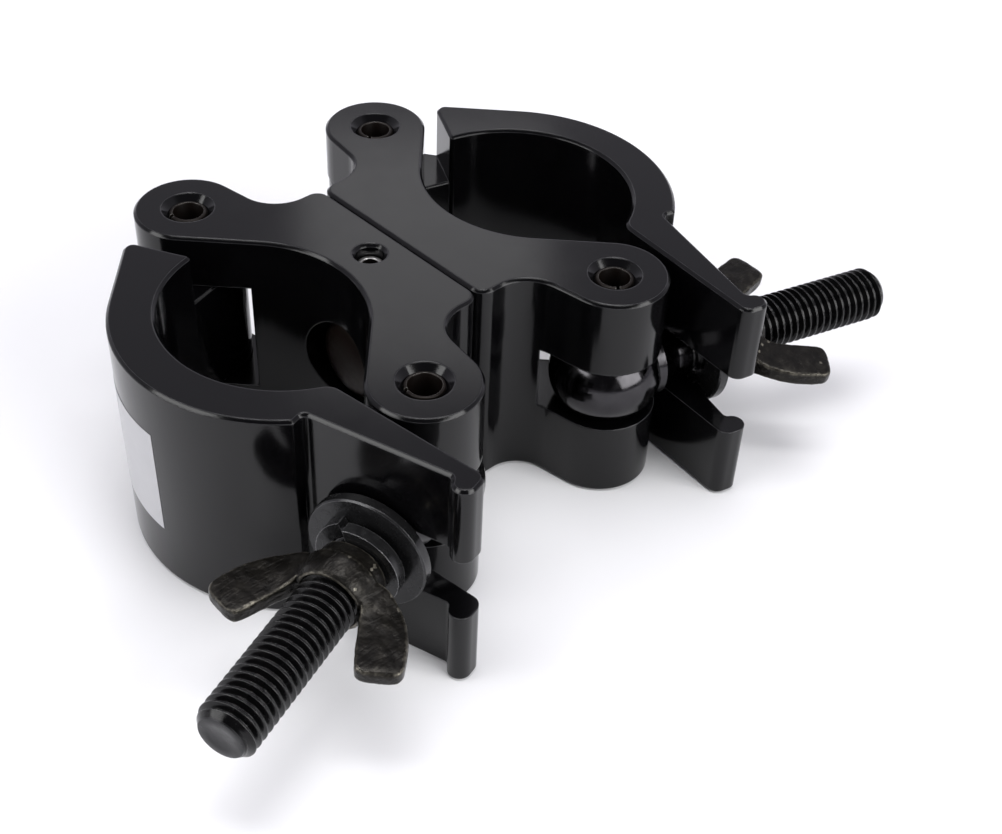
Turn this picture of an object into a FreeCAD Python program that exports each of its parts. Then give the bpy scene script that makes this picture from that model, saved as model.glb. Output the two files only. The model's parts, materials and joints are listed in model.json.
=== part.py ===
"""Swivel pipe clamp: two hinged half couplers joined back to back by a swivel bolt.

X runs along the mating line of the two bodies, from the hinges to the wing bolts.
Y runs through the swivel bolt, from the front coupler to the rear coupler.
Z is the direction of the tubes at rest. The part stands on z = 0, and its origin is
the front tube's axis dropped onto that standing plane. All lengths are in millimetres.

Each coupler is drawn once, as the rear one, with y = 0 at the mating plane. The front
one is the same set of pieces turned half a turn about the X axis at half height. The
finished assembly is then moved so that the front tube's axis is at x = 0, y = 0.
"""
import FreeCAD
import Part
import math
import os

V = FreeCAD.Vector

# ---- bodies and tube seat ----
width = 50.0                # height of the extruded bodies along the tube
bore_r = 25.5               # tube seat radius, for 48 to 51 mm tube
seat_wall = 15.2            # metal between the mating plane and the bottom of the seat
mating_gap = 0.3            # joint line between the two bodies
edge_break = 0.6            # small chamfer round the extruded outlines
pin_outset = 11.8           # hinge and wing bolt pins, out past the seat's radius
pin_setback = 15.2          # pins, from the tube's axis towards the mating plane
ear_r = 11.2                # round ears at both pins
foot_half = 25.2            # half width of the mating foot
foot_corner_r = 3.2
foot_side = 1.95            # flat flank of the foot, above its corner
neck = 1.17                 # between the circles of the hollow flank and the ear
slot_run = 3.2              # end wall of each slot, past the knuckle
hinge_slot = 26.4           # slot for the jaw knuckle
bolt_slot = 14.8            # slot for the wing bolt, in the ear and in the jaw

# ---- pins ----
pin_r = 4.0                 # spring pins in the ears
pin_wall = 1.2
pin_slit = 1.2
pin_recess = 1.8            # pin ends lie this far below the faces
pin_fit = 0.02              # radial clearance where a pin is held
turn_fit = 0.06             # radial clearance where a piece turns on a pin
sink = 1.6                  # countersink round each pin end
side_gap = 0.3              # free play beside a piece in its slot

# ---- jaw ----
jaw_wall = 9.2              # round back, outside the tube seat
jaw_end_reach = 2.75        # outer corner of the hinge end, out past the pin
jaw_end_rise = 1.2          # that corner, beyond the seat's centre
jaw_end_tilt = 12.4         # degrees the end face falls off towards the bore
jaw_end_r = 2.0             # rounding of the outer corner
jaw_tip_r = 0.8             # rounding of the corner at the bore
knuckle_play = 0.3          # knuckle inside the ear's outline
step_inset = 4.3            # step to the flange, inside the seat's radius
step_drop = 2.97            # height of that step
flange_fall = 0.02          # slope of the outer face
flange_root_t = 8.8         # flange thickness where it leaves the seat
flange_rise = 0.15          # slope of the inner face
flange_reach = 19.95        # free end of the flange, out past the bolt pin
bead_r = 2.4                # retaining bead along the flange end
bead_rise = 0.3             # bead centre above the outer face
nose_r = 4.0                # rounding where the bore runs into the flange
lip_r = 2.4                 # rounding of the flange's inner end corner
hollow_r = 1.2              # hollow corners on the outer face
ridge_r = 0.8               # rounding of the step's top corner
slot_root = 3.8             # centre of the slot's round end, inside the bolt pin
front_closing = 15.8        # degrees each jaw is swung in past the round bore
rear_closing = 14.8

# ---- wing bolt set ----
bolt_r = 5.92               # M12 over the thread crests
bolt_length = 69.6          # pin axis to tip
bolt_tip = 1.2
eye_proud = 0.8             # rounded eye, outside the ear's outline
eye_crown = 3.55            # bulge of the eye's side over its flats
front_lean = 20.1           # degrees each wing bolt leans away from the swivel
rear_lean = 17.4
washer_r = 12.5
washer_play = 0.58          # radial, on the bolt
washer_t = 2.4
seat_play = 0.3             # flat washer to the jaw's flange, loose
ring_r = 9.0                # spring lock washer
ring_play = 0.28            # radial, on the bolt
ring_t = 2.4
front_ring_lift = 1.9       # how far its split ends stand apart
rear_ring_lift = 1.2
ring_split = 14.0           # degrees left open at the split
nut_h = 9.0
nut_base_r = 8.5
nut_top_r = 7.3
nut_fit = 0.06
stack_gap = 0.05            # between the washers and the nut, hand loose
wing_t = 3.4
wing_round = 2.2
front_nut_turn = -3.0       # degrees the wings are turned out of level
rear_nut_turn = 8.0

# ---- swivel ----
pivot_r = 6.0
pivot_head_r = 9.0
pivot_head_h = 3.8
head_side = 1.0             # pocket wider than the bolt head, radial
head_sunk = 0.6             # bolt head below the bottom of the seat
nut_side = 0.8              # pocket wider than the nut's corners, radial
nut_sunk = 0.7              # nut below the bottom of the seat
socket_flats = 8.0
socket_depth = 2.6
pivot_washer_r = 10.0
pivot_washer_t = 1.5
pivot_nut_flats = 18.0
pivot_nut_h = 4.4
thrust_r = 17.0
thrust_t = 1.2
thrust_play = 0.03
lock_pin_r = 3.0
lock_pin_wall = 0.9
lock_pin_y = 7.3            # lock pin axis, into the front body
lock_pin_recess = 1.6
lock_sink = 0.7

# ---- places that follow from the sizes above ----
mid = width / 2.0
face_y = mating_gap / 2.0
bore_y = seat_wall + bore_r
pin_x = bore_r + pin_outset
pin_y = bore_y - pin_setback
waist_y = face_y + foot_corner_r + foot_side
jaw_outer_r = bore_r + jaw_wall
knuckle_r = ear_r - knuckle_play
eye_r = ear_r + eye_proud
slot_wall = knuckle_r + slot_run
step_x = bore_r - step_inset
step_top = bore_y + math.sqrt(jaw_outer_r ** 2 - step_x ** 2)
flange_y = step_top - step_drop
flange_inner_x = bore_r
flange_inner_y = flange_y - flange_fall * step_inset - flange_root_t
flange_end_x = pin_x + flange_reach
flange_root_x = pin_x - slot_root
sink_r = pin_r + sink
lock_sink_r = lock_pin_r + lock_sink
washer_bore_r = bolt_r + washer_play
ring_bore_r = bolt_r + ring_play
pivot_pocket_r = pivot_head_r + head_side
pivot_pocket_wall = seat_wall - head_sunk - pivot_head_h
nut_pocket_r = pivot_nut_flats / math.sqrt(3.0) + nut_side
nut_pocket_wall = seat_wall - nut_sunk - pivot_nut_h - pivot_washer_t
beyond = 2.0 * flange_end_x     # longer than any piece, for cutting tools


def polar(centre, radius, degrees):
    a = math.radians(degrees)
    return V(centre.x + radius * math.cos(a), centre.y + radius * math.sin(a), 0)


def arc(centre, radius, start, end):
    """Arc through three points, from one angle to the other."""
    middle = polar(centre, radius, (start + end) / 2.0)
    return Part.Arc(polar(centre, radius, start), middle, polar(centre, radius, end)).toShape()


def line(a, b):
    return Part.LineSegment(a, b).toShape()


def prism(edges, low, high):
    wire = Part.Wire(edges)
    solid = Part.Face(wire).extrude(V(0, 0, high - low))
    solid.translate(V(0, 0, low))
    return solid


def polygon(points, low, high):
    ring = [V(x, y, 0) for x, y in points]
    edges = [line(a, b) for a, b in zip(ring, ring[1:] + ring[:1])]
    return prism(edges, low, high)


def cylinder(radius, low, high, x=0.0, y=0.0):
    return Part.makeCylinder(radius, high - low, V(x, y, low), V(0, 0, 1))


def along_y(radius, y0, y1):
    """Cylinder on the swivel axis between two values of y."""
    return Part.makeCylinder(radius, y1 - y0, V(0, y0, mid), V(0, 1, 0))


def cone_at_face(radius, hole_r, x, y, z, up):
    """Countersink opening to a face at height z; up is 1 for a top face."""
    depth = radius - hole_r
    return Part.makeCone(radius + 0.1, hole_r, depth + 0.1, V(x, y, z + 0.1 * up), V(0, 0, -up))


def break_edges(solid, heights, size):
    """Chamfer every outline edge that lies flat in one of the given heights."""
    picked = []
    for edge in solid.Edges:
        box = edge.BoundBox
        if box.ZLength < 1e-6 and any(abs(box.ZMin - h) < 1e-6 for h in heights):
            picked.append(edge)
    return solid.makeChamfer(size, picked)


def common_tangent(c1, r1, c2, r2, side):
    """Tangent line that crosses between two circles; returns its two touch angles."""
    d = c2.sub(c1)
    base = math.degrees(math.atan2(d.y, d.x))
    spread = math.degrees(math.acos((r1 + r2) / d.Length))
    return base + side * spread, base + side * spread + 180.0


def tangent_point(point, centre, radius, side):
    """Where a line from a point touches a circle."""
    d = point.sub(centre)
    base = math.degrees(math.atan2(d.y, d.x))
    spread = math.degrees(math.acos(radius / d.Length))
    return base + side * spread


# ------------------------------------------------------------------ saddle body
def saddle_outline():
    """Half of the outline is worked out once and mirrored to the hinge side."""
    bore = V(0, bore_y, 0)
    ear = V(pin_x, pin_y, 0)
    over = pin_x - foot_half
    apart = ear_r + neck
    waist_r = (over ** 2 + (pin_y - waist_y) ** 2 - apart ** 2) / (2.0 * (over + apart))
    waist = V(foot_half + waist_r, waist_y, 0)
    corner = V(foot_half - foot_corner_r, face_y + foot_corner_r, 0)
    bore_end, ear_start = common_tangent(bore, bore_r, ear, ear_r, -1)
    waist_end, ear_end = common_tangent(waist, waist_r, ear, ear_r, 1)
    right = [
        arc(bore, bore_r, -90.0, bore_end),
        line(polar(bore, bore_r, bore_end), polar(ear, ear_r, ear_start)),
        arc(ear, ear_r, ear_start, ear_end - 360.0),
        line(polar(ear, ear_r, ear_end), polar(waist, waist_r, waist_end)),
        arc(waist, waist_r, waist_end, 180.0),
        line(polar(waist, waist_r, 180.0), polar(corner, foot_corner_r, 0.0)),
        arc(corner, foot_corner_r, 0.0, -90.0),
        line(polar(corner, foot_corner_r, -90.0), V(0, face_y, 0)),
    ]
    left = [edge.mirror(V(0, 0, 0), V(1, 0, 0)) for edge in right]
    return Part.__sortEdges__(right + left)


def slot_cut(side, opening):
    """Slot milled in along the diagonal through a pin; side is 1 at the bolt ear."""
    corner = V(-slot_wall, -beyond, mid - opening / 2.0)
    tool = Part.makeBox(beyond, 2.0 * beyond, opening, corner)
    tool.rotate(V(0, 0, 0), V(0, 0, 1), 45.0 if side > 0 else 135.0)
    tool.translate(V(side * pin_x, pin_y, 0))
    return tool


def plain_saddle():
    solid = break_edges(prism(saddle_outline(), 0.0, width), (0.0, width), edge_break)
    solid = solid.cut(slot_cut(1, bolt_slot)).cut(slot_cut(-1, hinge_slot))
    for x in (-pin_x, pin_x):
        solid = solid.cut(cylinder(pin_r + pin_fit, -1.0, width + 1.0, x, pin_y))
        solid = solid.cut(cone_at_face(sink_r, pin_r, x, pin_y, width, 1))
        solid = solid.cut(cone_at_face(sink_r, pin_r, x, pin_y, 0.0, -1))
    thrust = along_y(thrust_r + 0.1, 0.0, thrust_t / 2.0)
    return solid.cut(thrust)


def rear_saddle():
    solid = plain_saddle()
    solid = solid.cut(along_y(pivot_r + turn_fit, -1.0, bore_y))
    return solid.cut(along_y(nut_pocket_r, nut_pocket_wall, bore_y))


def front_saddle():
    solid = half_turn(plain_saddle())
    solid = solid.cut(along_y(pivot_r + pin_fit, -bore_y, 1.0))
    solid = solid.cut(along_y(pivot_pocket_r, -bore_y, -pivot_pocket_wall))
    solid = solid.cut(cylinder(lock_pin_r + pin_fit, mid - pivot_r, width + 1.0, 0.0, -lock_pin_y))
    sink = cone_at_face(lock_sink_r, lock_pin_r, 0.0, -lock_pin_y, width, 1)
    return solid.cut(sink)


# ------------------------------------------------------------------ jaw
def jaw_end():
    """Outer and inner corner of the hinge end, and the direction of the face between them."""
    outer = V(-pin_x - jaw_end_reach, bore_y + jaw_end_rise, 0)
    tilt = math.radians(jaw_end_tilt)
    along = V(math.cos(tilt), -math.sin(tilt), 0)
    out = outer.sub(V(0, bore_y, 0))
    b = out.dot(along)
    inner = outer.add(along * (-b - math.sqrt(b * b - out.dot(out) + bore_r ** 2)))
    return outer, inner, along


def jaw_outline():
    bore = V(0, bore_y, 0)
    outer_corner, inner_corner, _ = jaw_end()
    inner_angle = math.degrees(math.atan2(inner_corner.y - bore_y, inner_corner.x)) % 360.0
    back_start = tangent_point(outer_corner, bore, jaw_outer_r, -1)
    step_angle = math.degrees(math.atan2(step_top - bore_y, step_x))

    def outer_y(x):
        return flange_y - flange_fall * (x - step_x)

    def inner_y(x):
        return flange_inner_y + flange_rise * (x - flange_inner_x)

    bead = V(flange_end_x - bead_r, outer_y(flange_end_x - bead_r) + bead_rise, 0)
    # where the bead's circle comes down to the flange's outer face
    slope = 1.0 + flange_fall ** 2
    half_b = flange_fall * bead_rise
    back = (half_b + math.sqrt(half_b ** 2 - slope * (bead_rise ** 2 - bead_r ** 2))) / slope
    start_angle = math.degrees(math.atan2(flange_fall * back - bead_rise, -back)) % 360.0
    bead_start = polar(bead, bead_r, start_angle)
    # where the bore circle meets the line of the flange's inner face
    a = 1.0 + flange_rise ** 2
    offset = flange_inner_y - flange_rise * flange_inner_x - bore_y
    b = flange_rise * offset
    meet_x = (-b + math.sqrt(b * b - a * (offset ** 2 - bore_r ** 2))) / a
    meet = V(meet_x, inner_y(meet_x), 0)
    meet_angle = math.degrees(math.atan2(meet.y - bore_y, meet.x))
    low_corner = V(flange_end_x, inner_y(flange_end_x), 0)
    edges = [
        arc(bore, bore_r, inner_angle, meet_angle),
        line(meet, low_corner),
        line(low_corner, V(flange_end_x, bead.y, 0)),
        arc(bead, bead_r, 0.0, start_angle),
        line(bead_start, V(step_x, outer_y(step_x), 0)),
        line(V(step_x, outer_y(step_x), 0), V(step_x, step_top, 0)),
        arc(bore, jaw_outer_r, step_angle, back_start),
        line(polar(bore, jaw_outer_r, back_start), outer_corner),
        line(outer_corner, inner_corner),
    ]
    step = [V(step_x, outer_y(step_x), 0), bead_start]
    return edges, meet, low_corner, step, V(step_x, step_top, 0)


def vertical_edges_at(solid, points):
    picked = []
    for edge in solid.Edges:
        box = edge.BoundBox
        if box.ZLength > width / 2.0 and box.XLength < 1e-6:
            if any(math.hypot(box.XMin - p.x, box.YMin - p.y) < 1e-3 for p in points):
                picked.append(edge)
    return picked


def knuckle():
    """Tongue that reaches between the ears and turns on the hinge pin."""
    pin = V(-pin_x, pin_y, 0)
    outer, inner, along = jaw_end()
    outer = outer.add(along * jaw_end_r)
    inner = inner.sub(along * jaw_tip_r)
    left = tangent_point(outer, pin, knuckle_r, 1)
    right = tangent_point(inner, pin, knuckle_r, -1)
    into = V(0, edge_break * 2.0, 0)
    edges = [
        line(polar(pin, knuckle_r, right), inner),
        line(inner, inner.add(into)),
        line(inner.add(into), outer.add(into)),
        line(outer.add(into), outer),
        line(outer, polar(pin, knuckle_r, left)),
        arc(pin, knuckle_r, left, right + 360.0),
    ]
    half = hinge_slot / 2.0 - side_gap
    return break_edges(prism(edges, mid - half, mid + half), (mid - half, mid + half), 0.4)


def jaw():
    """Jaw drawn closed on a tube, with its bore round."""
    edges, meet, low_corner, hollows, ridge = jaw_outline()
    outer_corner, inner_corner, _ = jaw_end()
    solid = prism(edges, 0.0, width)
    solid = solid.makeFillet(jaw_end_r, vertical_edges_at(solid, [outer_corner]))
    solid = solid.makeFillet(jaw_tip_r, vertical_edges_at(solid, [inner_corner]))
    solid = solid.makeFillet(nose_r, vertical_edges_at(solid, [meet]))
    solid = solid.makeFillet(lip_r, vertical_edges_at(solid, [low_corner]))
    solid = solid.makeFillet(hollow_r, vertical_edges_at(solid, hollows))
    solid = solid.makeFillet(ridge_r, vertical_edges_at(solid, [ridge]))
    solid = break_edges(solid, (0.0, width), edge_break)
    half = bolt_slot / 2.0
    corner = V(flange_root_x, bore_y, mid - half)
    long_slot = Part.makeBox(beyond, beyond, bolt_slot, corner)
    root = Part.makeCylinder(half, beyond, V(flange_root_x, bore_y, mid), V(0, 1, 0))
    solid = solid.cut(long_slot).cut(root)
    solid = solid.fuse(knuckle())
    return solid.cut(cylinder(pin_r + turn_fit, 0.0, width, -pin_x, pin_y)).removeSplitter()


# ------------------------------------------------------------------ pins
def spring_pin(radius, wall, slit, low, high, turn):
    """Rolled pin with an open slit and tapered ends."""
    taper = wall * 0.6
    tube = cylinder(radius, low, high)
    tube = tube.makeChamfer(taper, [e for e in tube.Edges if e.BoundBox.ZLength < 1e-6])
    tube = tube.cut(cylinder(radius - wall, low - 1.0, high + 1.0))
    gap = Part.makeBox(radius * 2.0, slit, high - low + 2.0, V(0, -slit / 2.0, low - 1.0))
    gap.rotate(V(0, 0, 0), V(0, 0, 1), turn)
    return tube.cut(gap)


def ear_pin(x, turn):
    pin = spring_pin(pin_r, pin_wall, pin_slit, pin_recess, width - pin_recess, turn)
    pin.translate(V(x, pin_y, 0))
    return pin


# ------------------------------------------------------------------ wing bolt set
# Drawn with the pin axis on Z at the origin and the bolt lying along +Y.
def shaft(radius, start, end):
    return Part.makeCylinder(radius, end - start, V(0, start, 0), V(0, 1, 0))


def barrel(radius, crown, half):
    """Disc on the pin axis between two flats, its side bulging out to the radius."""
    low = V(radius - crown, -half, 0)
    high = V(radius - crown, half, 0)
    edges = [
        line(V(0, -half, 0), low),
        Part.Arc(low, V(radius, 0, 0), high).toShape(),
        line(high, V(0, half, 0)),
        line(V(0, half, 0), V(0, -half, 0)),
    ]
    solid = Part.Face(Part.Wire(edges)).revolve(V(0, 0, 0), V(0, 1, 0), 360.0)
    solid.rotate(V(0, 0, 0), V(1, 0, 0), 90.0)
    return solid


def eye_bolt():
    half = bolt_slot / 2.0 - side_gap
    eye = barrel(eye_r, eye_crown, half)
    neck = Part.makeCone(bolt_r + 1.2, bolt_r, 3.0, V(0, eye_r - 1.6, 0), V(0, 1, 0))
    flats = Part.makeBox(60, 60, half * 2.0, V(-30, -30, -half))
    rod = shaft(bolt_r, 0.0, bolt_length - bolt_tip)
    tip = Part.makeCone(bolt_r, bolt_r - bolt_tip, bolt_tip, V(0, bolt_length - bolt_tip, 0), V(0, 1, 0))
    solid = eye.fuse([neck.common(flats), rod, tip])
    return solid.cut(cylinder(pin_r + turn_fit, -mid, mid)).removeSplitter()


def washer_seat(closing, lean):
    """Distance along the bolt at which the flat washer just clears the jaw's flange."""
    turn = math.radians(closing)
    tilt = math.radians(lean - closing)
    x = -pin_x + 2.0 * pin_x * math.cos(turn)
    y = pin_y + 2.0 * pin_x * math.sin(turn)
    height = flange_y - flange_fall * (x - step_x) - y
    on_axis = height / (math.cos(tilt) + flange_fall * math.sin(tilt))
    mismatch = abs(tilt - math.atan(flange_fall))
    return on_axis + washer_r * math.tan(mismatch) + seat_play


def flat_washer(start):
    disc = shaft(washer_r, start, start + washer_t)
    disc = disc.makeChamfer(0.3, [e for e in disc.Edges if e.BoundBox.YLength < 1e-6])
    return disc.cut(shaft(washer_bore_r, start - 1.0, start + washer_t + 1.0))


def lock_washer(start, lift):
    """Square wire ring wound as one turn of a helix, with its split ends apart."""
    turn = (360.0 - ring_split) / 360.0
    mean_r = (ring_r + ring_bore_r) / 2.0
    half_w = (ring_r - ring_bore_r) / 2.0
    spine = Part.Wire(Part.makeHelix(lift / turn, lift, mean_r))
    corners = [V(mean_r - half_w, 0, -ring_t / 2.0), V(mean_r + half_w, 0, -ring_t / 2.0),
               V(mean_r + half_w, 0, ring_t / 2.0), V(mean_r - half_w, 0, ring_t / 2.0)]
    section = Part.makePolygon(corners + corners[:1])
    sweep = Part.BRepOffsetAPI.MakePipeShell(spine)
    sweep.setFrenetMode(True)
    sweep.add(section)
    sweep.build()
    sweep.makeSolid()
    ring = sweep.shape()
    ring.rotate(V(0, 0, 0), V(1, 0, 0), -90.0)
    ring.rotate(V(0, 0, 0), V(0, 1, 0), 118.0)
    ring.translate(V(0, start + ring_t / 2.0 + stack_gap, 0))
    return ring


def wing(base):
    """One wing, from the side of the hub out to its rounded tip."""
    outline = [(nut_top_r - 3.0, base + 1.2), (nut_base_r + 1.2, base + 1.2), (15.5, base + 6.9),
               (20.6, base + 16.9), (12.6, base + 21.4), (nut_top_r - 0.7, base + nut_h - 0.9),
               (nut_top_r - 3.0, base + nut_h - 0.9)]
    plate = polygon(outline, -wing_t / 2.0, wing_t / 2.0)
    tips = []
    for edge in plate.Edges:
        box = edge.BoundBox
        if box.ZLength > wing_t / 2.0 and box.YMin > base + 15.0:
            tips.append(edge)
    plate = plate.makeFillet(wing_round, tips)
    rim = [e for e in plate.Edges if e.BoundBox.ZLength < 1e-6 and e.BoundBox.XMax > nut_base_r + 1.3]
    return plate.makeFillet(wing_t * 0.32, rim)


def wing_nut(base, turn):
    top = base + nut_h
    hub = Part.makeCone(nut_base_r, nut_top_r, nut_h, V(0, base, 0), V(0, 1, 0))
    hub = hub.makeFillet(0.9, [e for e in hub.Edges if e.BoundBox.YLength < 1e-6])
    right = wing(base)
    left = right.copy()
    left.rotate(V(0, 0, 0), V(0, 1, 0), 180.0)
    solid = hub.fuse([right, left]).cut(shaft(bolt_r + nut_fit, base - 1.0, top + 1.0))
    solid = solid.removeSplitter()
    solid.rotate(V(0, 0, 0), V(0, 1, 0), turn)
    return solid


# ------------------------------------------------------------------ swivel
def hexagon(flats, y0, y1):
    radius = flats / math.sqrt(3.0)
    points = [(radius * math.cos(math.radians(60.0 * i)), radius * math.sin(math.radians(60.0 * i)))
              for i in range(6)]
    solid = polygon(points, 0.0, y1 - y0)
    solid.rotate(V(0, 0, 0), V(1, 0, 0), -90.0)
    solid.translate(V(0, y0, mid))
    return solid


def pivot_bolt():
    head_low = -(pivot_pocket_wall + pivot_head_h)
    end = nut_pocket_wall + pivot_washer_t + pivot_nut_h
    head = along_y(pivot_head_r, head_low, -pivot_pocket_wall)
    rim = [e for e in head.Edges if e.BoundBox.YLength < 1e-6 and e.BoundBox.YMin < head_low + 0.1]
    head = head.makeFillet(1.2, rim)
    solid = head.fuse(along_y(pivot_r, -pivot_pocket_wall, end)).removeSplitter()
    solid = solid.cut(hexagon(socket_flats, head_low - 1.0, head_low + socket_depth))
    return solid.cut(cylinder(lock_pin_r + pin_fit, mid - pivot_r, mid + pivot_r + 1.0, 0.0, -lock_pin_y))


def pivot_washer():
    start = nut_pocket_wall
    ring = along_y(pivot_washer_r, start + thrust_play, start + pivot_washer_t)
    return ring.cut(along_y(pivot_r + turn_fit, start - 1.0, start + pivot_washer_t + 1.0))


def pivot_nut():
    start = nut_pocket_wall + pivot_washer_t
    nut = hexagon(pivot_nut_flats, start, start + pivot_nut_h)
    cap = Part.makeCone(pivot_nut_flats * 0.5 + 2.6, pivot_nut_flats * 0.5 - 0.4, 3.0,
                        V(0, start + pivot_nut_h - 3.0, mid), V(0, 1, 0))
    cap = cap.fuse(along_y(pivot_nut_flats, start - 1.0, start + pivot_nut_h - 3.0))
    nut = nut.common(cap).removeSplitter()
    return nut.cut(along_y(pivot_r + pin_fit, start - 1.0, start + pivot_nut_h + 1.0))


def thrust_washer():
    half = thrust_t / 2.0 - thrust_play
    return along_y(thrust_r, -half, half).cut(along_y(pivot_r + turn_fit, -2.0, 2.0))


def lock_pin():
    pin = spring_pin(lock_pin_r, lock_pin_wall, 1.0, mid - pivot_r + 0.5, width - lock_pin_recess, 60.0)
    pin.translate(V(0, -lock_pin_y, 0))
    return pin


# ------------------------------------------------------------------ placing
def half_turn(shape):
    moved = shape.copy()
    moved.rotate(V(0, 0, mid), V(1, 0, 0), 180.0)
    return moved


def set_jaw(closing):
    shape = jaw()
    shape.rotate(V(-pin_x, pin_y, 0), V(0, 0, 1), -closing)
    return shape


def on_bolt(shape, lean):
    moved = shape.copy()
    moved.rotate(V(0, 0, 0), V(0, 0, 1), -lean)
    moved.translate(V(pin_x, pin_y, mid))
    return moved


def coupler(name, closing, lean, lift, nut_turn, place):
    washer_at = washer_seat(closing, lean)
    ring_at = washer_at + washer_t
    nut_at = ring_at + ring_t + lift + 2.0 * stack_gap
    return {
        name + "_jaw": place(set_jaw(closing)),
        name + "_hinge_pin": place(ear_pin(-pin_x, 150.0)),
        name + "_bolt_pin": place(ear_pin(pin_x, 20.0)),
        name + "_eye_bolt": place(on_bolt(eye_bolt(), lean)),
        name + "_flat_washer": place(on_bolt(flat_washer(washer_at), lean)),
        name + "_lock_washer": place(on_bolt(lock_washer(ring_at, lift), lean)),
        name + "_wing_nut": place(on_bolt(wing_nut(nut_at, nut_turn), lean)),
    }


def build():
    parts = {
        "front_saddle": front_saddle(),
        "rear_saddle": rear_saddle(),
        "pivot_bolt": pivot_bolt(),
        "pivot_washer": pivot_washer(),
        "pivot_nut": pivot_nut(),
        "thrust_washer": thrust_washer(),
        "pivot_lock_pin": lock_pin(),
    }
    parts.update(coupler("front", front_closing, front_lean, front_ring_lift, front_nut_turn, half_turn))
    parts.update(coupler("rear", rear_closing, rear_lean, rear_ring_lift, rear_nut_turn, lambda shape: shape))
    return parts


os.makedirs("parts", exist_ok=True)
for node, shape in build().items():
    if not shape.isValid():
        raise ValueError(node + " is not a valid solid")
    shape.translate(V(0, bore_y, 0))
    shape.exportStep("parts/" + node + ".step")
    print(node, len(shape.Solids), "solid", round(shape.Volume), "mm3")
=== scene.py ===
"""Looks of the swivel pipe clamp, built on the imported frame.

Blender and the frame work in metres. Figures multiplied by MM are in millimetres, and so
are the tables that say so. Sizes inside the materials are in metres.
"""
import json
import math

import bmesh
import bpy
from mathutils import Matrix, Vector, noise

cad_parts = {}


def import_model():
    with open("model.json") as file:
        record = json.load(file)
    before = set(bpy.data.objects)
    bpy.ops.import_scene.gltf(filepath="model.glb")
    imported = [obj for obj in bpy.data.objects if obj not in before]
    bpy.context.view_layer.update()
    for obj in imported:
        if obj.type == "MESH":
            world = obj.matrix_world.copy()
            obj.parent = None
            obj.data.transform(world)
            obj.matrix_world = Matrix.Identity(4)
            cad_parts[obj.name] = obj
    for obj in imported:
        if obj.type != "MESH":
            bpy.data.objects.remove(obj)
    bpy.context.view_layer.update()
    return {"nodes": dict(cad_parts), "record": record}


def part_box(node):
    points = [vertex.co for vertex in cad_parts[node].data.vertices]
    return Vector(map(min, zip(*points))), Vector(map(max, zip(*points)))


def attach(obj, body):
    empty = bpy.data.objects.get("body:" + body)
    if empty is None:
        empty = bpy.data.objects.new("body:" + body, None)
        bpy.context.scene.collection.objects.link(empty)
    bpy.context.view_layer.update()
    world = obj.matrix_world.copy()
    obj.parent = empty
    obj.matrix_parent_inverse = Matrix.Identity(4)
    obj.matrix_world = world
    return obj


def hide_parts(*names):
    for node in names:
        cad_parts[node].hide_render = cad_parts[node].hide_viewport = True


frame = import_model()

MM = 0.001
TURN = 2 * math.pi
ROUND = 96                     # segments round a turned surface
behaviour = frame["record"]["behaviour"]
joints = {j["name"]: j for j in behaviour["joints"]}
body_of = {n: body for body, names in behaviour["bodies"].items() for n in names}


# ------------------------------------------------------------------ node helpers
def new_material(name):
    """An empty material with its shader, and its object coordinates."""
    mat = bpy.data.materials.new(name)
    mat.use_nodes = True
    nt = mat.node_tree
    nt.nodes.clear()
    out = nt.nodes.new("ShaderNodeOutputMaterial")
    bsdf = nt.nodes.new("ShaderNodeBsdfPrincipled")
    nt.links.new(bsdf.outputs[0], out.inputs[0])
    return mat, nt, bsdf, nt.nodes.new("ShaderNodeTexCoord").outputs["Object"]


def node(nt, kind, **values):
    """A node with its settings, or else its inputs, given by name."""
    n = nt.nodes.new(kind)
    for key, value in values.items():
        if hasattr(n, key):
            setattr(n, key, value)
        else:
            n.inputs[key.replace("_", " ")].default_value = value
    return n


def noise_tex(nt, coord, scale, detail=3.0, rough=0.5):
    n = node(nt, "ShaderNodeTexNoise", Scale=scale, Detail=detail, Roughness=rough)
    nt.links.new(coord, n.inputs["Vector"])
    return n.outputs[0]


def ramp(nt, value, stops):
    n = nt.nodes.new("ShaderNodeValToRGB")
    while len(n.color_ramp.elements) < len(stops):
        n.color_ramp.elements.new(0.5)
    for e, (pos, col) in zip(n.color_ramp.elements, stops):
        e.position = pos
        e.color = (*col, 1.0)
    nt.links.new(value, n.inputs[0])
    return n.outputs[0]


def remap(nt, value, *limits):
    """Value carried from one range to another: from low, from high, to low, to high."""
    n = nt.nodes.new("ShaderNodeMapRange")
    for i, limit in enumerate(limits, 1):
        n.inputs[i].default_value = limit
    nt.links.new(value, n.inputs[0])
    return n.outputs[0]


def mottle(nt, coord, scale, detail, low, high, span=(0.3, 0.7), rough=0.5):
    """Noise whose middle span is stretched to run from low to high."""
    return remap(nt, noise_tex(nt, coord, scale, detail, rough), *span, low, high)


def math_node(nt, op, a, b):
    n = node(nt, "ShaderNodeMath", operation=op, use_clamp=True)
    nt.links.new(a, n.inputs[0])
    nt.links.new(b, n.inputs[1])
    return n.outputs[0]


def dot_product(nt):
    return node(nt, "ShaderNodeVectorMath", operation="DOT_PRODUCT")


def mix_color(nt, fac, a, b):
    """From a, a colour or a socket, to the colour b."""
    n = node(nt, "ShaderNodeMix", data_type="RGBA")
    in_a, in_b = 6, 7          # the colour inputs
    nt.links.new(fac, n.inputs[0])
    if isinstance(a, tuple):
        n.inputs[in_a].default_value = (*a, 1.0)
    else:
        nt.links.new(a, n.inputs[in_a])
    n.inputs[in_b].default_value = (*b, 1.0)
    return n.outputs[2]


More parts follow.
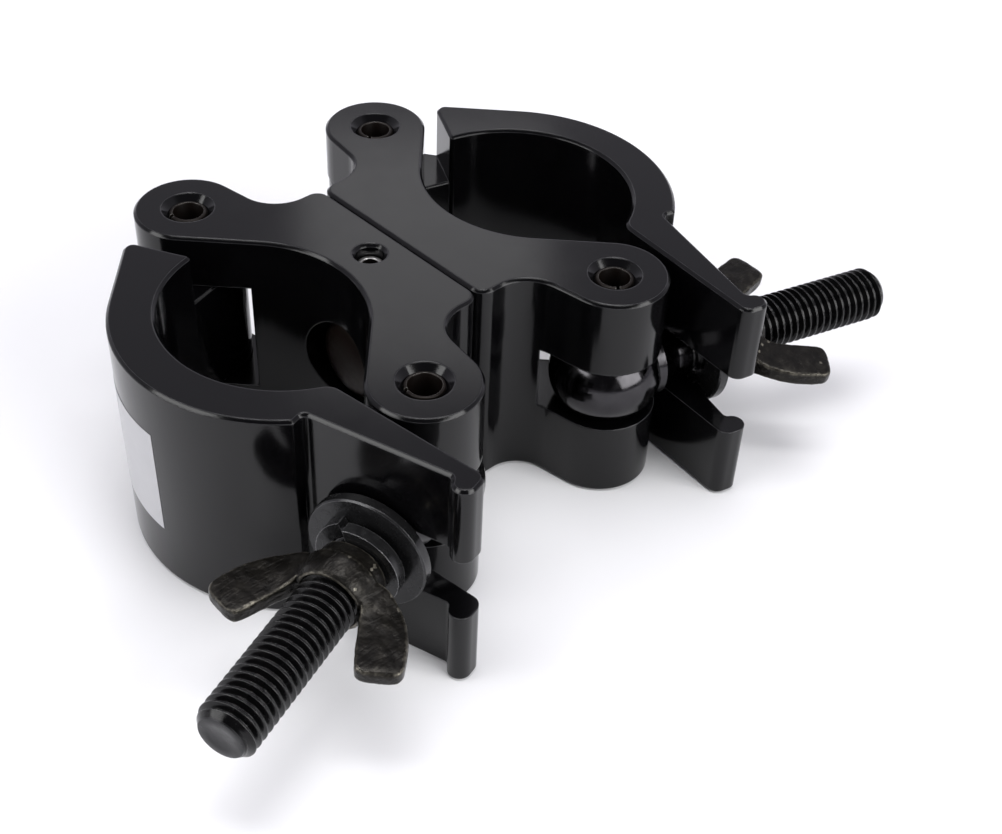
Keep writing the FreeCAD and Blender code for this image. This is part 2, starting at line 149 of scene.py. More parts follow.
def bump(nt, height, distance, strength, normal=None):
    n = node(nt, "ShaderNodeBump", Strength=strength, Distance=distance)
    nt.links.new(height, n.inputs["Height"])
    if normal is not None:
        nt.links.new(normal, n.inputs["Normal"])
    return n.outputs[0]


def bevel(nt, radius, samples=6):
    return node(nt, "ShaderNodeBevel", samples=samples, Radius=radius).outputs[0]


def edge_mask(nt, radius, low, high):
    """0 on flat ground, 1 along edges, from how far a rounded normal leaves the true one."""
    geo = nt.nodes.new("ShaderNodeNewGeometry")
    dot = dot_product(nt)
    nt.links.new(bevel(nt, radius, 8), dot.inputs[0])
    nt.links.new(geo.outputs["Normal"], dot.inputs[1])
    return remap(nt, dot.outputs["Value"], high, low, 0.0, 1.0)


# ------------------------------------------------------------------ materials
def coat_material():
    """Thin black coat over extruded metal, with a soft grain and paler edges: a thinner coat at
    the edges, and a painted highlight along them.
    """
    mat, nt, bsdf, pos = new_material("black_coat")
    cloud = noise_tex(nt, pos, 55.0, 2.0)
    base = mix_color(nt, cloud, (0.0012, 0.0012, 0.0014), (0.0019, 0.0018, 0.0022))
    # paler grey along every edge: a thinner coat there, and a painted highlight
    thin_coat_and_highlight = math_node(nt, "MULTIPLY", edge_mask(nt, 0.00028, 0.93, 0.99),
                     mottle(nt, pos, 420.0, 4.0, 0.35, 1.0))
    nt.links.new(mix_color(nt, thin_coat_and_highlight, base, (0.060, 0.060, 0.064)), bsdf.inputs["Base Color"])
    nt.links.new(mottle(nt, pos, 140.0, 3.0, 0.105, 0.14), bsdf.inputs["Roughness"])
    grain = noise_tex(nt, pos, 2600.0, 2.0)
    nt.links.new(bump(nt, grain, 0.00002, 0.25, bevel(nt, 0.00052)), bsdf.inputs["Normal"])
    bsdf.inputs["Specular IOR Level"].default_value = 0.31
    return mat


def oxide_material(name, tone, shine, wear_and_glint, metal=0.75, spec=0.5, reach=0.00016, grain=900.0,
                   even=0.15):
    """Black oxide steel: dark, slightly oily, paler on crests, where it is rubbed and where a
    painted highlight lies.

    tone and wear_and_glint are the colours of skin and crests, shine the lowest roughness, reach
    the width of a pale edge, grain the fineness of the skin, even how much of an edge is pale.
    """
    mat, nt, bsdf, pos = new_material(name)
    cloud = noise_tex(nt, pos, 320.0, 3.0)
    base = mix_color(nt, cloud, tone, tuple(min(1.0, 1.7 * c) for c in tone))
    edge = edge_mask(nt, reach, 0.80, 0.97)
    # edges paled towards the crest colour: rubbed steel, and a painted highlight
    worn_and_glinting = math_node(nt, "MULTIPLY", edge,
                     mottle(nt, pos, 1500.0, 3.0, even, 1.0, span=(0.3, 0.75)))
    nt.links.new(mix_color(nt, worn_and_glinting, base, wear_and_glint), bsdf.inputs["Base Color"])
    bsdf.inputs["Metallic"].default_value = metal
    bsdf.inputs["Specular IOR Level"].default_value = spec
    nt.links.new(mottle(nt, pos, 700.0, 3.0, shine, shine + 0.16), bsdf.inputs["Roughness"])
    skin = bump(nt, noise_tex(nt, pos, grain, 4.0), 0.00004, 0.5, bevel(nt, 0.00012))
    nt.links.new(skin, bsdf.inputs["Normal"])
    return mat


def forged_material():
    """Forged wing nut: dark bronze oxide, pitted skin, paler rims: rubbed edges, and a painted
    highlight along them.
    """
    mat, nt, bsdf, pos = new_material("forged_oxide")
    cloud = noise_tex(nt, pos, 380.0, 6.0, 0.62)
    base = ramp(nt, cloud, [(0.36, (0.0070, 0.0063, 0.0054)), (0.54, (0.0125, 0.0112, 0.0094)),
                            (0.70, (0.025, 0.0230, 0.0190))])
    geo = nt.nodes.new("ShaderNodeNewGeometry")
    # pale rims where the skin turns sharply: rubbed metal, and a painted highlight
    rim = math_node(nt, "MULTIPLY", remap(nt, geo.outputs["Pointiness"], 0.512, 0.545, 0.0, 1.0),
                    mottle(nt, pos, 620.0, 4.0, 0.25, 1.0, span=(0.35, 0.65)))
    nt.links.new(mix_color(nt, rim, base, (0.21, 0.195, 0.16)), bsdf.inputs["Base Color"])
    bsdf.inputs["Metallic"].default_value = 0.65
    bsdf.inputs["Specular IOR Level"].default_value = 0.3
    nt.links.new(mottle(nt, pos, 480.0, 4.0, 0.25, 0.38), bsdf.inputs["Roughness"])
    stretch = nt.nodes.new("ShaderNodeMapping")
    stretch.inputs["Rotation"].default_value = (0.5, 0.4, 0.9)
    stretch.inputs["Scale"].default_value = (1.0, 0.16, 1.0)
    nt.links.new(pos, stretch.inputs["Vector"])
    scratch = mottle(nt, stretch.outputs[0], 1500.0, 3.0, 0.0, 1.0, span=(0.40, 0.50))
    pits = mottle(nt, pos, 700.0, 5.0, 0.0, 1.0, span=(0.34, 0.46), rough=0.6)
    skin = bump(nt, math_node(nt, "MULTIPLY", scratch, pits), 0.00005, 0.55)
    waves = bump(nt, noise_tex(nt, pos, 260.0, 4.0, 0.6), 0.00030, 0.5, skin)
    nt.links.new(waves, bsdf.inputs["Normal"])
    return mat


def plain_material(name, scale, dark, pale, rough):
    """Matt surface between two near tones; gives its node tree too, for a bump."""
    mat, nt, bsdf, pos = new_material(name)
    nt.links.new(mix_color(nt, noise_tex(nt, pos, scale), dark, pale), bsdf.inputs["Base Color"])
    bsdf.inputs["Roughness"].default_value = rough
    return mat, nt, bsdf, pos


def label_material():
    mat, nt, bsdf, pos = plain_material("blank_label", 260.0, (0.40, 0.40, 0.415),
                                        (0.445, 0.445, 0.46), 0.42)
    nt.links.new(bump(nt, noise_tex(nt, pos, 300.0), 0.00003, 0.4), bsdf.inputs["Normal"])
    return mat


coat = coat_material()
# pale grey on the thread's crests: partly rubbed steel, partly a painted highlight on each crest
bolt_steel = oxide_material("black_oxide", (0.0022, 0.0021, 0.0023), 0.13, (0.38, 0.38, 0.38),
                            metal=0.45, spec=0.40, reach=0.00011, even=0.45)
eye_steel = oxide_material("polished_oxide", (0.034, 0.033, 0.035), 0.08, (0.12, 0.12, 0.12),
                           metal=1.0, grain=300.0)
end_steel = oxide_material("cut_end", (0.020, 0.020, 0.021), 0.26, (0.22, 0.22, 0.22), metal=0.8)
washer_steel = oxide_material("washer_oxide", (0.024, 0.024, 0.025), 0.15, (0.45, 0.45, 0.46),
                              reach=0.00022, even=0.5)
pin_steel = oxide_material("pin_oxide", (0.007, 0.0052, 0.0042), 0.26, (0.50, 0.49, 0.46),
                           metal=0.4, spec=0.2, reach=0.00013, even=0.6)
# inner wall of each pin's bore: near black and dull, painted shade in the hollow
bore_painted_shade = oxide_material("pin_bore_painted_shade", (0.0022, 0.0014, 0.0011), 0.40, (0.012, 0.009, 0.007),
                            metal=0.0, spec=0.06)
bare_steel = oxide_material("bare_pin_end", (0.46, 0.45, 0.44), 0.28, (0.7, 0.7, 0.7),
                            metal=1.0, reach=0.0002, even=0.5)
head_steel = oxide_material("brown_oxide", (0.013, 0.0075, 0.0055), 0.32, (0.10, 0.07, 0.05),
                            metal=0.5, grain=260.0)
forged = forged_material()
plastic = plain_material("slip_plastic", 200.0, (0.02, 0.02, 0.02), (0.03, 0.03, 0.03), 0.5)[0]
finish_of = {
    "saddle": coat, "jaw": coat, "hinge_pin": pin_steel, "bolt_pin": pin_steel,
    "lock_pin": pin_steel, "pivot_bolt": bolt_steel, "pivot_washer": washer_steel,
    "pivot_nut": bolt_steel, "thrust_washer": plastic, "eye_bolt": bolt_steel,
    "flat_washer": washer_steel, "lock_washer": washer_steel, "wing_nut": forged,
}
for name, obj in frame["nodes"].items():
    mat = next(m for key, m in finish_of.items() if name.endswith(key))
    for slot in obj.material_slots:
        slot.material = mat
    if not obj.material_slots:
        obj.data.materials.append(mat)


# ------------------------------------------------------------------ mesh helpers
def link_mesh(name, bm):
    """Object in the scene from an edit mesh, which is freed."""
    mesh = bpy.data.meshes.new(name)
    bm.to_mesh(mesh)
    bm.free()
    obj = bpy.data.objects.new(name, mesh)
    bpy.context.scene.collection.objects.link(obj)
    return obj


def add_object(name, bm, mat, body):
    obj = link_mesh(name, bm)
    obj.data.materials.append(mat)
    obj.data.shade_smooth()
    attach(obj, body)
    return obj


def face_outwards(bm):
    bmesh.ops.recalc_face_normals(bm, faces=bm.faces)


def keep_edges(mesh, degrees):
    mesh.set_sharp_from_angle(angle=math.radians(degrees))


def bolt_frame(end):
    """Matrix from a bolt's own axes (y along it, z along its pin) to the frame."""
    pin = Vector(joints[end + "_bolt_swing"]["pos_m"])
    along = Vector(joints[end + "_washer_travel"]["axis"]).normalized()
    up = Vector(joints[end + "_bolt_swing"]["axis"]).normalized()
    m = Matrix((along.cross(up), along, up)).transposed().to_4x4()
    m.translation = pin
    return m


def in_bolt_axes(node_name, m):
    """Points of a CAD node, in the axes that the matrix leads from."""
    inv = m.inverted()
    return [inv @ v.co for v in frame["nodes"][node_name].data.vertices]


def loft(bm, rings, bore=None):
    """Skin over rings of equally many points; the strip numbered bore gets material 1."""
    for a, b in zip(rings, rings[1:]):
        for k in range(len(a)):
            j = (k + 1) % len(a)
            face = bm.faces.new((a[k], a[j], b[j], b[k]))
            face.material_index = int(k == bore)


def revolve(bm, profile):
    """Surface of revolution about y from (radius, y) points; closed at radius 0."""
    rings = []
    for r, y in profile:
        count = ROUND if r else 1
        rings.append([bm.verts.new((r * math.cos(TURN * i / ROUND), y,
                                    r * math.sin(TURN * i / ROUND))) for i in range(count)])
    for a, b in zip(rings, rings[1:]):
        for i in range(ROUND):
            j = (i + 1) % ROUND
            quad = [a[i % len(a)], a[j % len(a)], b[j % len(b)], b[i % len(b)]]
            unique = list(dict.fromkeys(quad))
            if len(unique) > 2:
                bm.faces.new(unique)


def join(bm, other, index):
    """Add one mesh to another, its faces in the given material slot."""
    for f in other.faces:
        f.material_index = index
    mesh = bpy.data.meshes.new("part")
    other.to_mesh(mesh)
    other.free()
    bm.from_mesh(mesh)
    bpy.data.meshes.remove(mesh)


# ------------------------------------------------------------------ threaded eye bolts
PITCH = 1.75 * MM
CREST = 5.9 * MM
ROOT = 4.85 * MM
CREST_SHARE, ROOT_SHARE = 0.14, 0.80   # where the flank starts and ends, over half a pitch
PER_PITCH = 14                         # rows of the thread's skin in one pitch
RUNOUT_R = CREST * 0.93                # where the thread fades into the shank
RUNOUT = 1.4 * PITCH
THREAD_START = 18.6 * MM               # from the pin's axis
SHANK_R = 5.45 * MM
TIP_R = 4.6 * MM                       # at the end of the chamfer
CHAMFER = 2.0 * MM
CHAMFER_SLOPE = 0.95
EYE_HALF = 7.1 * MM                    # half the eye's width across its flats
EYE_CROWN = 3.55 * MM                  # bulge of its side over the flats
EYE_HOLE_R = 4.1 * MM
EYE_LIP = 0.35 * MM                    # chamfer of the hole
EYE_SOFT = 0.25 * MM                   # taken off the corner between flat and side
EYE_ROUND = 160
# neck from the shank into the eye: radius beyond the shank's, and distance from the pin
NECK = [(0.15, 14.6), (0.7, 13.3), (1.7, 12.0), (2.6, 10.6), (1.8, 7.0)]


def thread_radius(t):
    """ISO thread section over one pitch, t from 0 to 1, with rounded crest and root."""
    t = abs(((t + 0.5) % 1.0) - 0.5) * 2.0
    flank = (t - CREST_SHARE) / (ROOT_SHARE - CREST_SHARE)
    flank = min(1.0, max(0.0, flank))
    return CREST - (CREST - ROOT) * (0.85 * flank + 0.15 * flank * flank * (3 - 2 * flank))


def threaded_shank(start, end):
    """Helical thread as a closed skin, its run-out at the start, its chamfer at the end."""
    bm = bmesh.new()
    steps = int((end - start) / PITCH * PER_PITCH) + PER_PITCH
    rows = []
    for i in range(steps + 1):
        row = []
        for j in range(ROUND):
            ang = TURN * j / ROUND
            y = start + PITCH * (i / PER_PITCH - 1.0 + j / ROUND)
            y = min(end, max(start, y))
            r = thread_radius((y - start) / PITCH - j / ROUND)
            fade = min(1.0, max(0.0, (y - start) / RUNOUT))
            r = (1 - fade) * RUNOUT_R + fade * r
            r = min(r, TIP_R + min(CHAMFER, max(0.0, end - y)) * CHAMFER_SLOPE)
            row.append(bm.verts.new((r * math.sin(ang), y, r * math.cos(ang))))
        rows.append(row)
    for a, b in zip(rows, rows[1:]):
        for j in range(ROUND - 1):
            bm.faces.new((a[j], a[j + 1], b[j + 1], b[j]))
    # the seam joins each row to the row one pitch further on
    for i in range(steps):
        i2, i3 = min(i + PER_PITCH, steps), min(i + 1 + PER_PITCH, steps)
        if i2 == i3:
            continue
        bm.faces.new((rows[i][-1], rows[i2][0], rows[i3][0], rows[i + 1][-1]))
    return bm


def end_face(tip):
    """End of the bolt inside its chamfer, with the step that a die leaves."""
    bm = bmesh.new()
    revolve(bm, [(TIP_R + 0.02 * MM, tip - 0.31 * MM), (TIP_R - 0.15 * MM, tip - 0.06 * MM),
                 (TIP_R - 0.4 * MM, tip), (TIP_R * 0.6, tip - 0.02 * MM),
                 (TIP_R * 0.55, tip - 0.10 * MM), (0, tip - 0.10 * MM)])
    return bm


def neck():
    """Plain shank, and the neck that swells into the eye, held between the eye's flats."""
    bm = bmesh.new()
    revolve(bm, [(SHANK_R * 0.97, THREAD_START + 0.3 * MM), (SHANK_R, THREAD_START - 0.3 * MM),
                 (SHANK_R, 15.4 * MM)] + [(SHANK_R + r * MM, y * MM) for r, y in NECK])
    for v in bm.verts:
        v.co.z = max(-EYE_HALF, min(EYE_HALF, v.co.z))
    return bm


def barrel_profile(eye_r, steps=32):
    """Section of the eye: hole, flat, bulging side, flat; as (radius, height) points."""
    half, lip, hole_r = EYE_HALF, EYE_LIP, EYE_HOLE_R
    rho = (half ** 2 + EYE_CROWN ** 2) / (2.0 * EYE_CROWN)
    top = math.asin(half / rho)
    points = [(hole_r, -half + lip), (hole_r + lip, -half)]
    for i in range(steps + 1):
        a = -top + 2.0 * top * i / steps
        points.append((eye_r - rho + rho * math.cos(a), rho * math.sin(a)))
    points[2] = (points[2][0] - EYE_SOFT, -half)
    points[-1] = (points[-1][0] - EYE_SOFT, half)
    return points + [(hole_r + lip, half), (hole_r, half - lip), (hole_r, -half + lip)]


def eye(eye_r):
    bm = bmesh.new()
    angles = [TURN * i / EYE_ROUND for i in range(EYE_ROUND)]
    loft(bm, [[bm.verts.new((r * math.cos(a), r * math.sin(a), z)) for a in angles]
              for r, z in barrel_profile(eye_r)])
    return bm


def eye_bolt(end):
    m = bolt_frame(end)
    ys = [p.y for p in in_bolt_axes(end + "_eye_bolt", m)]
    tip = max(ys)
    bm = threaded_shank(THREAD_START, tip - 0.30 * MM)
    join(bm, end_face(tip), 2)
    join(bm, neck(), 1)
    join(bm, eye(-min(ys)), 1)
    bmesh.ops.remove_doubles(bm, verts=bm.verts, dist=1e-7)
    bmesh.ops.transform(bm, matrix=m, verts=bm.verts)
    face_outwards(bm)
    obj = add_object(end + "_threaded_eye_bolt", bm, bolt_steel, end + "_bolt_set")
    obj.data.materials.append(eye_steel)
    obj.data.materials.append(end_steel)
    keep_edges(obj.data, 38)
    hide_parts(end + "_eye_bolt")


# ------------------------------------------------------------------ forged wing nuts
# section of the hub (radius, height), and of a wing from root to tip: the inner and the
# outer edge of each section in the wing's plane, and half its thickness; millimetres
HUB = [(6.0, 0.8), (6.05, 0.1), (6.4, 0.0), (6.8, 0.2), (6.9, 2.8), (7.1, 3.1), (7.6, 3.35),
       (7.85, 3.8), (7.85, 4.6), (7.75, 5.6), (7.6, 6.6), (7.4, 7.6), (7.05, 8.5), (6.6, 9.0),
       (6.15, 8.8), (6.0, 8.3), (6.0, 0.8)]
WING = [((4.6, 8.0), (5.2, 3.4), 4.4), ((5.9, 8.3), (7.4, 3.2), 3.8),
        ((6.7, 9.2), (9.2, 3.2), 2.9), ((7.3, 10.6), (11.2, 4.1), 2.1),
        ((8.4, 13.1), (13.9, 6.2), 1.75), ((10.0, 16.6), (16.8, 9.8), 1.7),
        ((11.3, 19.2), (18.5, 13.4), 1.7), ((12.0, 20.2), (19.4, 15.8), 1.65),
        ((12.6, 20.4), (19.5, 17.0), 1.55), ((13.7, 20.5), (19.1, 18.0), 1.3),
        ((15.0, 20.1), (18.0, 18.8), 0.9)]
WING_CORNER = 0.6              # rounding of a wing's edges
FACE_STEPS = 8                 # parts of a wing's face, from edge to edge
FACE_FULL = 0.10               # how far the face stands out at its middle
DENTS = ((0.12, 0.33), (0.06, 0.8), (0.025, 2.2))   # depth, and waves to a millimetre


def wing_section(inner, outer, t):
    """Points round a section of a wing: a bar with rounded corners and slightly full faces."""
    a, b = Vector(inner), Vector(outer)
    along = (b - a).normalized()
    width = (b - a).length
    r = min(WING_CORNER, 0.8 * t, 0.3 * width)
    ring = []
    for cu, cz, first in ((width - r, t - r, 0), (r, t - r, 90), (r, r - t, 180),
                          (width - r, r - t, 270)):
        for step in range(4):
            ang = math.radians(first + 30.0 * step)
            ring.append((cu + r * math.cos(ang), cz + r * math.sin(ang)))
        if first in (0, 180):
            sign = 1 if first == 0 else -1
            for k in range(1, FACE_STEPS):
                f = k / FACE_STEPS
                u = (width - r) + (2 * r - width) * f if sign > 0 else r + (width - 2 * r) * f
                ring.append((u, sign * (t + FACE_FULL * math.sin(math.pi * f))))
    return [(*(a + along * u), z) for u, z in ring]


def catmull_rom(a, b, c, d, f):
    """Value at the share f of the way from b to c, with their neighbours a and d."""
    return 0.5 * (2 * b + (c - a) * f + (2 * a - 5 * b + 4 * c - d) * f ** 2
                  + (3 * b - a - 3 * c + d) * f ** 3)


def smooth_sections(table, steps=4):
    """Sections between those of the table, on smooth curves, so that the wing has no kinks."""
    rows = [(*inner, *outer, t) for inner, outer, t in table]
    out = []
    for i in range(len(rows) - 1):
        around = rows[max(i - 1, 0)], rows[i], rows[i + 1], rows[min(i + 2, len(rows) - 1)]
        for k in range(steps):
            out.append([catmull_rom(*values, k / steps) for values in zip(*around)])
    out.append(rows[-1])
    return [((a, b), (c, d), t) for a, b, c, d, t in out]


def wing_turn(pts):
    """Turn of the wings about the bolt, from the furthest points of the CAD's nut."""
    span = max(math.hypot(p.x, p.z) for p in pts)
    far = [p for p in pts if math.hypot(p.x, p.z) > 0.9 * span]
    turns = [math.atan2(-p.z, p.x) if p.x > 0 else math.atan2(p.z, -p.x) for p in far]
    return sum(turns) / len(far)


def add_wing(bm, side):
    rings = []
    for inner, outer, t in smooth_sections(WING):
        rings.append([bm.verts.new((side * x * MM, y * MM, side * z * MM))
                      for x, y, z in wing_section(inner, outer, t)])
    loft(bm, rings)
    bm.faces.new(rings[0])
    bm.faces.new(rings[-1])


def fuse(obj):
    """Blend the hub and the wings of a nut into one skin; gives the new mesh."""
    remesh = obj.modifiers.new("skin", "REMESH")
    remesh.mode = "VOXEL"
    remesh.voxel_size = 0.22 * MM
    soft = obj.modifiers.new("soft", "SMOOTH")
    soft.factor = 0.5
    soft.iterations = 3
    deps = bpy.context.evaluated_depsgraph_get()
    mesh = bpy.data.meshes.new_from_object(obj.evaluated_get(deps))
    obj.modifiers.clear()
    old = obj.data
    obj.data = mesh
    bpy.data.meshes.remove(old)
    return mesh


def dent(mesh):
    """The unevenness of a hand-forged skin."""
    moved = []
    for v in mesh.vertices:
        p = v.co / MM
        k = sum(depth * noise.noise(p * waves) for depth, waves in DENTS)
        moved.append(v.co + v.normal * k * MM)
    for v, co in zip(mesh.vertices, moved):
        v.co = co


def wing_nut(end):
    m = bolt_frame(end)
    pts = in_bolt_axes(end + "_wing_nut", m)
    base = min(p.y for p in pts)
    bm = bmesh.new()
    revolve(bm, [(r * MM, y * MM) for r, y in HUB])
    for side in (1, -1):
        add_wing(bm, side)
    face_outwards(bm)
    name = end + "_forged_wing_nut"
    obj = add_object(name, bm, forged, end + "_nut_set")
    mesh = fuse(obj)
    dent(mesh)
    place = m @ Matrix.Translation((0, base, 0)) @ Matrix.Rotation(wing_turn(pts), 4, "Y")
    mesh.transform(place)
    mesh.shade_smooth()
    keep_edges(mesh, 40)
    if not mesh.materials:
        mesh.materials.append(forged)
    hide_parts(end + "_wing_nut")


# ------------------------------------------------------------------ spring pins, swivel bolt
# node: how far the ends stand beyond the CAD pin's, wall, rounding of the ends (millimetres),
# and direction of the slit (degrees)
PINS = {"front_hinge_pin": (0.85, 0.85, 0.42, -103.0),
        "front_bolt_pin": (0.85, 0.75, 0.30, -108.0),
        "rear_hinge_pin": (0.85, 0.85, 0.42, -62.0),
        "rear_bolt_pin": (0.85, 0.85, 0.42, -35.0),
        "pivot_lock_pin": (-0.9, 1.35, 0.65, -45.0)}
PIN_PLAY = 0.02 * MM           # taken off the CAD pin's radius
HALF_SLIT = 0.5 * MM
# dome of the swivel bolt's head (radius, depth); millimetres
DOME = [(0.0, 0.0), (1.5, 0.01), (3.0, 0.06), (4.5, 0.17), (6.0, 0.38), (7.2, 0.72),
        (8.0, 1.10), (8.6, 1.6), (8.92, 2.2)]
HEAD_EDGE, HEAD_DEPTH = 2.9 * MM, 3.8 * MM   # where the head's side starts and ends
SWIVEL_R = 6.0 * MM


def spring_pin(node_name, proud, wall, lip, slit):
    low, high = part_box(node_name)
    cx, cy = (low[0] + high[0]) / 2.0, (low[1] + high[1]) / 2.0
    r = (high[0] - low[0]) / 2.0 - PIN_PLAY
    inner = r - wall * MM
    lip *= MM
    end = high[2] + proud * MM
    foot = low[2] - (proud * MM if proud > 0 else 0.0)
    half = [(r, 1.6 * lip), (r - 0.12 * lip, 0.75 * lip), (r - 0.45 * lip, 0.25 * lip),
            (r - lip, 0.0), (inner + 0.15 * MM, 0.0), (inner, 0.18 * MM)]
    section = [(x, foot + z) for x, z in half] + [(x, end - z) for x, z in reversed(half)]
    gap = math.asin(HALF_SLIT / r)
    bm = bmesh.new()
    rings = []
    for i in range(ROUND + 1):
        a = math.radians(slit) + gap + (TURN - 2 * gap) * i / ROUND
        rings.append([bm.verts.new((cx + x * math.cos(a), cy + x * math.sin(a), z))
                      for x, z in section])
    loft(bm, rings, bore=len(half) - 1)
    bm.faces.new(rings[0])
    bm.faces.new(rings[-1])
    face_outwards(bm)
    mat = bare_steel if node_name == "pivot_lock_pin" else pin_steel
    obj = add_object(node_name.replace("_pin", "_slotted_pin"), bm, mat, body_of[node_name])
    # the bore's inner wall takes the painted shade material
    obj.data.materials.append(bore_painted_shade)
    keep_edges(obj.data, 40)
    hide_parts(node_name)


def swivel_bolt():
    """The swivel's bolt with its plain domed head, which lies in the front seat's pocket."""
    low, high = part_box("pivot_bolt")
    mid = (low[2] + high[2]) / 2.0
    r = (high[0] - low[0]) / 2.0
    y, end = low[1], high[1]
    bm = bmesh.new()
    revolve(bm, [(x * MM, y + h * MM) for x, h in DOME] +
            [(r, y + HEAD_EDGE), (r, y + HEAD_DEPTH), (SWIVEL_R, y + HEAD_DEPTH),
             (SWIVEL_R, end), (0.0, end)])
    for v in bm.verts:
        v.co.z += mid
    face_outwards(bm)
    obj = add_object("swivel_bolt_domed", bm, head_steel, "front_base")
    keep_edges(obj.data, 40)
    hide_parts("pivot_bolt")


# ------------------------------------------------------------------ blank label, front jaw
JAW_CLOSING = -15.8            # degrees, the front jaw past the round seat
JAW_CENTRE = (37.3, 15.2)      # centre of the jaw's back from its hinge, before it closes
BACK_R = 34.7 * MM
LABEL_THICK = 0.09 * MM
LABEL_SUNK = 0.005 * MM        # the label's edge lies this far off the jaw
LABEL_FROM, LABEL_SPAN = -86.6, -58.0    # degrees round the jaw's back
LABEL_FOOT, LABEL_HIGH = 13.0, 24.6      # millimetres up the jaw
LABEL_COLS, LABEL_ROWS = 48, 16


def label():
    hinge = Vector(joints["front_jaw_hinge"]["pos_m"])
    turn = math.radians(JAW_CLOSING)
    arm = Vector(JAW_CENTRE) * MM
    cx = hinge.x + arm.x * math.cos(turn) - arm.y * math.sin(turn)
    cy = hinge.y - (arm.x * math.sin(turn) + arm.y * math.cos(turn))
    bm = bmesh.new()

    def point(i, j, r):
        a = math.radians(LABEL_FROM + LABEL_SPAN * i / LABEL_COLS)
        z = (LABEL_FOOT + LABEL_HIGH * j / LABEL_ROWS) * MM
        return bm.verts.new((cx + r * math.cos(a), cy + r * math.sin(a), z))

    grid = [[point(i, j, BACK_R + LABEL_THICK) for j in range(LABEL_ROWS + 1)]
            for i in range(LABEL_COLS + 1)]
    for a, b in zip(grid, grid[1:]):
        for j in range(LABEL_ROWS):
            bm.faces.new((a[j], b[j], b[j + 1], a[j + 1]))
    # the rim leads from the label's border down to the jaw
    border = ([(i, 0) for i in range(LABEL_COLS)] + [(LABEL_COLS, j) for j in range(LABEL_ROWS)]
              + [(i, LABEL_ROWS) for i in range(LABEL_COLS, 0, -1)]
              + [(0, j) for j in range(LABEL_ROWS, 0, -1)])
    loft(bm, [[grid[i][j] for i, j in border],
              [point(i, j, BACK_R + LABEL_SUNK) for i, j in border]])
    face_outwards(bm)
    obj = add_object("front_jaw_blank_label", bm, label_material(), "front_jaw_set")
    keep_edges(obj.data, 40)


for end in ("front", "rear"):
    eye_bolt(end)
    wing_nut(end)
for pin_name, facts in PINS.items():
    spring_pin(pin_name, *facts)
swivel_bolt()
label()


# ------------------------------------------------------------------ floor, light, camera
FLOOR_DROP = 0.00005           # metres below the part, so that no faces coincide
FLOOR_HALF = 15.0
AIM = (0.01, 0.04, 0.02)
# name: place and size in metres, power in watts
BOXES = {"overhead": ((0.09, -0.045, 1.21), (1.0, 0.18), 4.5),
         "back_box": ((-0.717, 0.687, 0.739), (0.24, 0.24), 0.215),
         "right_box": ((1.163, 0.231, 0.59), (1.0, 0.8), 15.5),
         "left_box": ((-0.302, -1.076, 0.61), (0.8, 0.75), 10.0)}
CEILING = {"direction": (0.10, -0.10, -1.0), "energy": 0.80, "angle": 30}
TENT_TINT = (0.95, 0.925, 1.035)
# height of a direction, from 0 (level) to 1 (straight up), and the tent's brightness there
TENT = [(0.0, 0.72), (0.25, 0.60), (0.48, 0.50), (0.74, 0.50), (0.86, 0.75), (1.0, 0.75)]
TO_CAMERA = (0.70, -0.714, 0.0)
# each: from low, from high, to low, to high
DARK = (-0.02, 0.26, 1.0, 0.16)          # share towards the camera, to brightness
HORIZON = (0.03, 0.08, 1.0, 0.0)         # height, to the least brightness; bright low down
# camera fitted to the photograph; angles in degrees, lengths in metres, focus in pixels
AZIMUTH, ELEVATION, ROLL = 44.441, 41.266, 2.908
TARGET, DISTANCE = (33.917, 39.055, 25.0), 0.310591
FOCAL_PX, PHOTO_WIDTH_PX, SENSOR_MM = 1526.96, 1002, 36.0


def floor():
    bm = bmesh.new()
    bmesh.ops.create_grid(bm, x_segments=1, y_segments=1, size=FLOOR_HALF)
    obj = link_mesh("floor", bm)
    obj.location.z = -FLOOR_DROP
    obj.data.materials.append(plain_material("floor_white", 3.0, (0.80, 0.80, 0.815),
                                             (0.81, 0.81, 0.825), 0.9)[0])


def add_light(name, kind, energy, direction):
    light = bpy.data.lights.new(name, kind)
    light.energy = energy
    obj = bpy.data.objects.new(name, light)
    obj.rotation_euler = Vector(direction).to_track_quat("-Z", "Y").to_euler()
    bpy.context.scene.collection.objects.link(obj)
    return obj


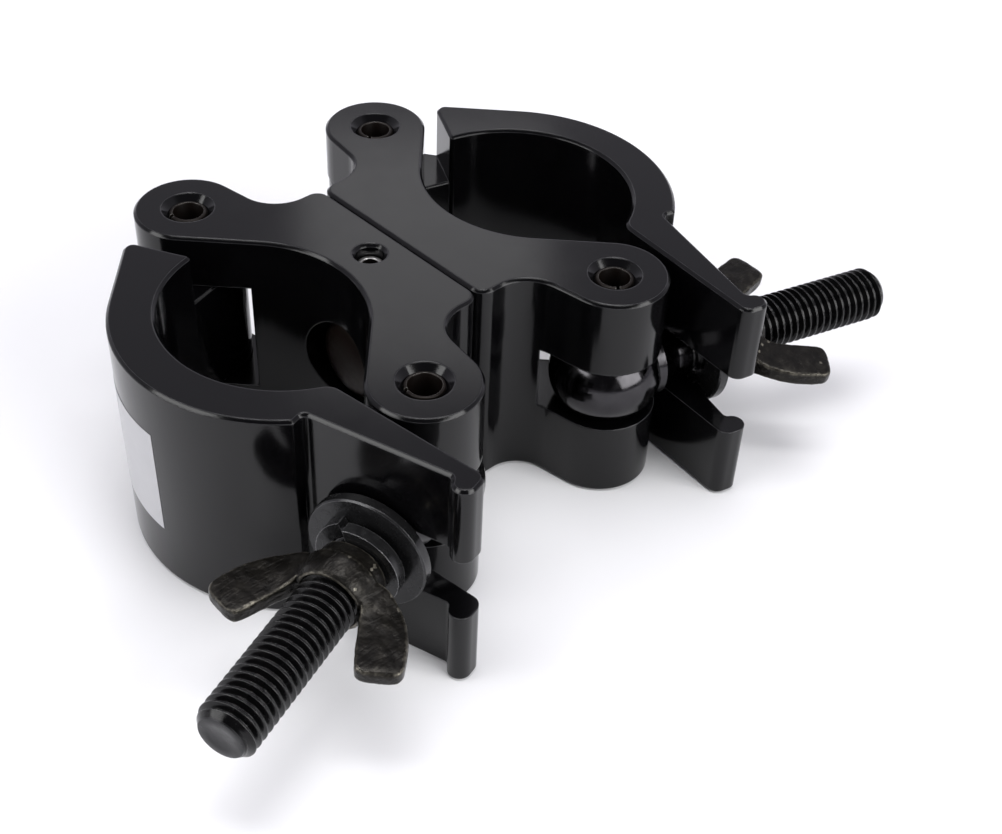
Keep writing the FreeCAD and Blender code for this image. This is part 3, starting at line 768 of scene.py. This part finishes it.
def world():
    """A pale tent, brighter low down and overhead, and dark towards the camera's side."""
    w = bpy.data.worlds.new("studio")
    bpy.context.scene.world = w
    w.use_nodes = True
    nt = w.node_tree
    bg = nt.nodes["Background"]
    around = nt.nodes.new("ShaderNodeTexCoord").outputs["Generated"]
    split = nt.nodes.new("ShaderNodeSeparateXYZ")
    nt.links.new(around, split.inputs[0])
    stops = [(z, tuple(v * c for c in TENT_TINT)) for z, v in TENT]
    nt.links.new(ramp(nt, split.outputs["Z"], stops), bg.inputs["Color"])
    side = dot_product(nt)
    side.inputs[1].default_value = TO_CAMERA
    nt.links.new(around, side.inputs[0])
    dark_side = remap(nt, side.outputs["Value"], *DARK)
    horizon = remap(nt, split.outputs["Z"], *HORIZON)
    nt.links.new(math_node(nt, "MAXIMUM", dark_side, horizon), bg.inputs["Strength"])


def camera():
    az, el, roll = map(math.radians, (AZIMUTH, ELEVATION, ROLL))
    back = Vector((math.sin(az) * math.cos(el), -math.cos(az) * math.cos(el), math.sin(el)))
    right = Vector((math.cos(az), math.sin(az), 0))
    up = back.cross(right)
    r2 = math.cos(roll) * right + math.sin(roll) * up
    u2 = -math.sin(roll) * right + math.cos(roll) * up
    cam = bpy.data.cameras.new("camera")
    cam.sensor_width = SENSOR_MM
    cam.lens = FOCAL_PX / PHOTO_WIDTH_PX * SENSOR_MM
    cam.clip_start = 0.01
    obj = bpy.data.objects.new("camera", cam)
    m = Matrix((r2, u2, back)).transposed().to_4x4()
    m.translation = Vector(TARGET) * MM + back * DISTANCE
    obj.matrix_world = m
    bpy.context.scene.collection.objects.link(obj)
    bpy.context.scene.camera = obj


floor()
world()
for name, (at, size, power) in BOXES.items():
    box = add_light(name, "AREA", power, Vector(AIM) - Vector(at))
    box.location = at
    box.data.shape = "RECTANGLE"
    box.data.size, box.data.size_y = size
ceiling = add_light("ceiling", "SUN", CEILING["energy"], CEILING["direction"])
ceiling.data.angle = math.radians(CEILING["angle"])
camera()
bpy.context.scene.view_settings.view_transform = "Standard"
